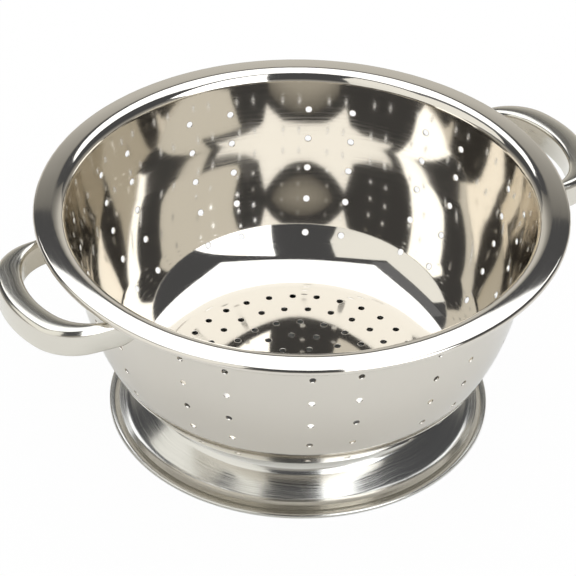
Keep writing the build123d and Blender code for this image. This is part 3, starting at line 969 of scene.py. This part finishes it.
def steel_material(name, colour, roughness, line_spacing, line_depth, swell, swell_depth):
    """Stainless steel with low swells from forming and fine polishing lines along the turning.

    swell is the width of a swell and line_spacing the distance between polishing lines, in metres.
    Real lines are a few hundredths of a millimetre apart, too fine to show, so they are drawn as
    coarse as the render needs. The lines also make the polish hazier and clearer by turns.
    """
    material, tree = new_material(name)
    where = add_node(tree, "ShaderNodeTexCoord")
    swells = add_node(tree, "ShaderNodeTexNoise", {
        "Vector": where.outputs["Object"], "Scale": 1 / swell, "Detail": 1.0, "Roughness": 0.4})
    drift = add_node(tree, "ShaderNodeTexNoise", {
        "Vector": where.outputs["Object"], "Scale": 1 / DRIFT_WIDTH, "Detail": 2.0})
    uv = add_node(tree, "ShaderNodeSeparateXYZ", {"Vector": where.outputs["UV"]})
    line_at = add_node(tree, "ShaderNodeMath", {
        0: drift.outputs["Fac"], 1: DRIFT, 2: uv.outputs["Y"]}, operation="MULTIPLY_ADD")
    lines = add_node(tree, "ShaderNodeTexNoise", {
        "W": line_at.outputs["Value"], "Scale": 1 / line_spacing, "Detail": 3.0}, noise_dimensions="1D")
    first = add_node(tree, "ShaderNodeBump", {
        "Strength": 1.0, "Distance": swell_depth, "Height": swells.outputs["Fac"]})
    second = add_node(tree, "ShaderNodeBump", {
        "Strength": 1.0, "Distance": line_depth, "Height": lines.outputs["Fac"],
        "Normal": first.outputs["Normal"]})
    haze = add_node(tree, "ShaderNodeMapRange", {
        "Value": lines.outputs["Fac"], "From Min": 0.3, "From Max": 0.7,
        "To Min": roughness * 0.7, "To Max": roughness * 1.4})
    shader = add_node(tree, "ShaderNodeBsdfPrincipled", {
        "Base Color": linear(colour), "Metallic": 1.0, "Roughness": haze.outputs["Result"],
        "Normal": second.outputs["Normal"]})
    add_node(tree, "ShaderNodeOutputMaterial", {"Surface": shader.outputs["BSDF"]})
    return material


def bowl_steel(finish):
    """Stainless sheet, deep drawn and mirror polished: dark and bright patches with wavy edges."""
    return steel_material(
        "stainless_drawn_mirror_polished", finish.bowl_steel, roughness=0.06,
        line_spacing=0.9 * MM, line_depth=0.0006 * MM, swell=26 * MM, swell_depth=0.042 * MM)


def foot_steel(finish):
    """Stainless sheet, spun and buffed: softer patches, drawn out across the buffing lines."""
    return steel_material(
        "stainless_spun_buffed", finish.foot_steel, roughness=0.17,
        line_spacing=0.7 * MM, line_depth=0.002 * MM, swell=20 * MM, swell_depth=0.02 * MM)


def handle_steel(finish):
    """Stainless tube, pressed and tumble polished: clean edges, softly blurred patches."""
    return steel_material(
        "stainless_pressed_tumbled", finish.handle_steel, roughness=0.14,
        line_spacing=0.9 * MM, line_depth=0.0005 * MM, swell=14 * MM, swell_depth=0.012 * MM)


def weld_steel(finish):
    """Resistance weld in stainless: matt grey nugget with a straw heat tint at its edge."""
    material, tree = new_material("stainless_spot_weld")
    where = add_node(tree, "ShaderNodeTexCoord")
    uv = add_node(tree, "ShaderNodeSeparateXYZ", {"Vector": where.outputs["UV"]})
    tint = add_node(tree, "ShaderNodeMapRange", {
        "Value": uv.outputs["X"], "From Min": 0.55, "From Max": 0.95})
    colour = add_node(tree, "ShaderNodeMix", {
        "Factor": tint.outputs["Result"], "A": linear(finish.weld_steel), "B": linear(finish.weld_tint)},
        data_type="RGBA")
    grain = add_node(tree, "ShaderNodeTexNoise", {
        "Vector": where.outputs["Object"], "Scale": 1 / (0.5 * MM), "Detail": 3.0})
    bump = add_node(tree, "ShaderNodeBump", {
        "Strength": 0.6, "Distance": 0.02 * MM, "Height": grain.outputs["Fac"]})
    shader = add_node(tree, "ShaderNodeBsdfPrincipled", {
        "Base Color": colour.outputs["Result"], "Metallic": 1.0, "Roughness": 0.35,
        "Normal": bump.outputs["Normal"]})
    add_node(tree, "ShaderNodeOutputMaterial", {"Surface": shader.outputs["BSDF"]})
    return material


class COLANDER_OT_stage(Operator):
    """Adds the paper floor, the studio's cards, the surroundings and the camera"""

    bl_idname = "colander.stage"
    bl_label = "Stage"

    def execute(self, context):
        scene = context.scene
        stage = scene.colander_stage
        finish = scene.colander_finish
        self.floor(stage, finish)
        soft, right, left, back = stage.softbox_level, stage.right_level, stage.left_level, stage.back_level
        # Levels at the first and the third edge, and the corners in degrees right of the zenith
        # and towards the camera from it
        cards = (
            ("overhead_softbox", finish.softbox, (soft, soft), ((-34, -46), (38, -43), (33, 13), (-30, 13))),
            ("right_card", finish.right_card, (right, right), ((10, 18.5), (60, 26), (76, 64), (24, 80))),
            ("left_card_side", finish.left_card, (left, left),
             ((-64, -22), (-43.5, -20), (-40, 19.5), (-84, 19.5))),
            ("left_card_front", finish.left_card, (left, left),
             ((-84, 19.5), (-14.5, 19.5), (-16, 43), (-84, 43))),
            ("left_card_low", finish.left_card, (left, 0.9 * left),
             ((-84, 43), (-16, 43), (-30, 78), (-64, 78))),
            ("back_wall", finish.back_wall, (0.27 * back, 0.85 * back),
             ((-34, -52), (34, -52), (42, -64), (-42, -64))),
            ("back_sweep", finish.back_wall, (0.85 * back, back),
             ((-42, -64), (42, -64), (48, -80), (-48, -80))),
            ("left_gap", finish.room, (stage.gap_level, stage.gap_level),
             ((-43.5, -30), (-34, -30), (-30, 17), (-40, 17))),
        )
        for name, colour, levels, corners in cards:
            self.card(name, stage, colour, levels, corners)
        self.surroundings(scene, finish)
        self.camera(scene, stage)
        scene.view_settings.view_transform = "Standard"
        scene.cycles.glossy_bounces = 12
        return {"FINISHED"}

    @staticmethod
    def floor(stage, finish):
        """White paper sweep: a disc whose shadows stay and whose edge fades into white."""
        side = np.arange(PAPER_SIDES)
        ring = about_axis(stage.floor_radius, 0.0, side * 2 * pi / PAPER_SIDES)
        disc = make_object("paper_floor", np.concatenate([ring, [[0, 0, 0]]]), fan(side, PAPER_SIDES))
        material, tree = new_material("matt_white_paper")
        where = add_node(tree, "ShaderNodeTexCoord")
        away = add_node(tree, "ShaderNodeVectorMath", {0: where.outputs["Object"]}, operation="LENGTH")
        path = add_node(tree, "ShaderNodeLightPath")
        bounced = add_node(tree, "ShaderNodeMath", {
            0: path.outputs["Is Glossy Ray"], 1: path.outputs["Is Transmission Ray"]}, operation="MAXIMUM")
        looked_at = add_node(tree, "ShaderNodeMath", {
            0: bounced.outputs["Value"], 1: path.outputs["Is Camera Ray"]}, operation="MAXIMUM")
        near = add_node(tree, "ShaderNodeMapRange", {
            "Value": bounced.outputs["Value"], "To Min": stage.floor_white, "To Max": stage.floor_gloss})
        fade = add_node(tree, "ShaderNodeMapRange", {
            "Value": away.outputs["Value"], "From Min": stage.fade_start, "From Max": stage.fade_end,
            "To Min": near.outputs["Result"], "To Max": 1.0})
        clear = add_node(tree, "ShaderNodeMath", {
            0: away.outputs["Value"], 1: foot_high.x}, operation="GREATER_THAN")
        share = add_node(tree, "ShaderNodeMath", {
            0: fade.outputs["Result"], 1: clear.outputs["Value"]}, operation="MULTIPLY")
        seen = add_node(tree, "ShaderNodeMath", {
            0: looked_at.outputs["Value"], 1: share.outputs["Value"]}, operation="MULTIPLY")
        paper = add_node(tree, "ShaderNodeBsdfDiffuse", {"Color": linear(finish.paper)})
        white = add_node(tree, "ShaderNodeEmission", {"Color": (1, 1, 1, 1), "Strength": 1.0})
        mix = add_node(tree, "ShaderNodeMixShader", {
            0: seen.outputs["Value"], 1: paper.outputs["BSDF"], 2: white.outputs["Emission"]})
        add_node(tree, "ShaderNodeOutputMaterial", {"Surface": mix.outputs["Shader"]})
        disc.data.materials.append(material)

    @staticmethod
    def card(name, stage, colour, levels, corners):
        """A curved card on a sphere about the object, filled between its four corners, whose
        level goes from the first value at its first edge to the second at its third.

        A corner's distance from the zenith is its angle from straight up, and its bearing is
        that of the camera turned by the corner's own bearing from the camera's side.
        """
        u, v = np.meshgrid(np.linspace(0, 1, CARD_LINES), np.linspace(0, 1, CARD_LINES))
        a, b, c, d = [np.array(corner, float) for corner in corners]
        flat = (a * ((1 - u) * (1 - v))[..., None] + b * (u * (1 - v))[..., None]
                + c * (u * v)[..., None] + d * ((1 - u) * v)[..., None])
        tilt = np.radians(np.hypot(flat[..., 0], flat[..., 1]))
        bearing = stage.camera_azimuth - pi / 2 + np.arctan2(flat[..., 0], flat[..., 1])
        points = about_axis(np.sin(tilt), np.cos(tilt), bearing).reshape(-1, 3) * stage.card_distance
        faces = grid_quads(np.arange(u.size).reshape(u.shape))
        made = make_object(name, points, faces.tolist(), uv=np.stack([u, v], -1).reshape(-1, 2))
        material, tree = new_material(f"{name}_light")
        where = add_node(tree, "ShaderNodeTexCoord")
        across = add_node(tree, "ShaderNodeSeparateXYZ", {"Vector": where.outputs["UV"]})
        level = add_node(tree, "ShaderNodeMapRange", {
            "Value": across.outputs["Y"], "To Min": levels[0], "To Max": levels[1]})
        light = add_node(tree, "ShaderNodeEmission", {
            "Color": linear(colour), "Strength": level.outputs["Result"]})
        add_node(tree, "ShaderNodeOutputMaterial", {"Surface": light.outputs["Emission"]})
        made.data.materials.append(material)
        made.visible_camera = False

    @staticmethod
    def surroundings(scene, finish):
        """Dim room for everything but the camera, which sees white."""
        world = bpy.data.worlds.new("studio")
        world.use_nodes = True
        tree = world.node_tree
        tree.nodes.clear()
        where = add_node(tree, "ShaderNodeTexCoord")
        upright = add_node(tree, "ShaderNodeSeparateXYZ", {"Vector": where.outputs["Generated"]})
        height = add_node(tree, "ShaderNodeMapRange", {
            "Value": upright.outputs["Z"], "From Min": 0.12, "From Max": 0.32})
        shade = add_node(tree, "ShaderNodeMix", {
            "Factor": height.outputs["Result"], "A": linear(finish.room_low), "B": linear(finish.room)},
            data_type="RGBA")
        room = add_node(tree, "ShaderNodeBackground", {"Color": shade.outputs["Result"]})
        white = add_node(tree, "ShaderNodeBackground", {"Color": (1, 1, 1, 1), "Strength": 1.0})
        path = add_node(tree, "ShaderNodeLightPath")
        mix = add_node(tree, "ShaderNodeMixShader", {
            0: path.outputs["Is Camera Ray"], 1: room.outputs["Background"], 2: white.outputs["Background"]})
        add_node(tree, "ShaderNodeOutputWorld", {"Surface": mix.outputs["Shader"]})
        scene.world = world

    @staticmethod
    def camera(scene, stage):
        """The photograph's camera, on a sphere about its aim point."""
        away = Vector((
            sin(stage.camera_azimuth) * cos(stage.camera_elevation),
            -cos(stage.camera_azimuth) * cos(stage.camera_elevation),
            sin(stage.camera_elevation)))
        turn = away.to_track_quat("Z", "Y").to_matrix() @ Matrix.Rotation(stage.camera_roll, 3, "Z")
        data = bpy.data.cameras.new("camera")
        data.lens = stage.camera_lens
        data.clip_start = 0.01
        made = bpy.data.objects.new("camera", data)
        place = Vector(stage.camera_aim) + away * stage.camera_distance
        made.matrix_world = Matrix.Translation(place) @ turn.to_4x4()
        scene.collection.objects.link(made)
        scene.camera = made


class COLANDER_PT_sidebar(Panel):
    """Lists the colander's pieces"""

    bl_label = "Footed Colander"
    bl_idname = "COLANDER_PT_sidebar"
    bl_space_type = "VIEW_3D"
    bl_region_type = "UI"
    bl_category = "Colander"

    def draw(self, context):
        for operator in ("bowl", "foot", "handles", "welds", "stage"):
            self.layout.operator(f"colander.{operator}")


SETTINGS = {
    "colander_bowl": BowlSettings,
    "colander_holes": HoleSettings,
    "colander_foot": FootSettings,
    "colander_handle": HandleSettings,
    "colander_weld": WeldSettings,
    "colander_finish": FinishSettings,
    "colander_stage": StageSettings,
}
TOOLS = (
    COLANDER_OT_bowl, COLANDER_OT_foot, COLANDER_OT_handles, COLANDER_OT_welds, COLANDER_OT_stage,
    COLANDER_PT_sidebar)


def register():
    """Adds the classes and the scene's settings."""
    for cls in (*SETTINGS.values(), *TOOLS):
        bpy.utils.register_class(cls)
    for name, group in SETTINGS.items():
        setattr(bpy.types.Scene, name, PointerProperty(type=group))


def unregister():
    """Takes the scene's settings and the classes away."""
    for name in SETTINGS:
        delattr(bpy.types.Scene, name)
    for cls in reversed((*SETTINGS.values(), *TOOLS)):
        bpy.utils.unregister_class(cls)


def main():
    """Builds every piece and the stage."""
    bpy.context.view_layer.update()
    register()
    bpy.ops.colander.bowl()
    bpy.ops.colander.foot()
    bpy.ops.colander.handles()
    bpy.ops.colander.welds()
    bpy.ops.colander.stage()


if __name__ == "__main__":
    main()
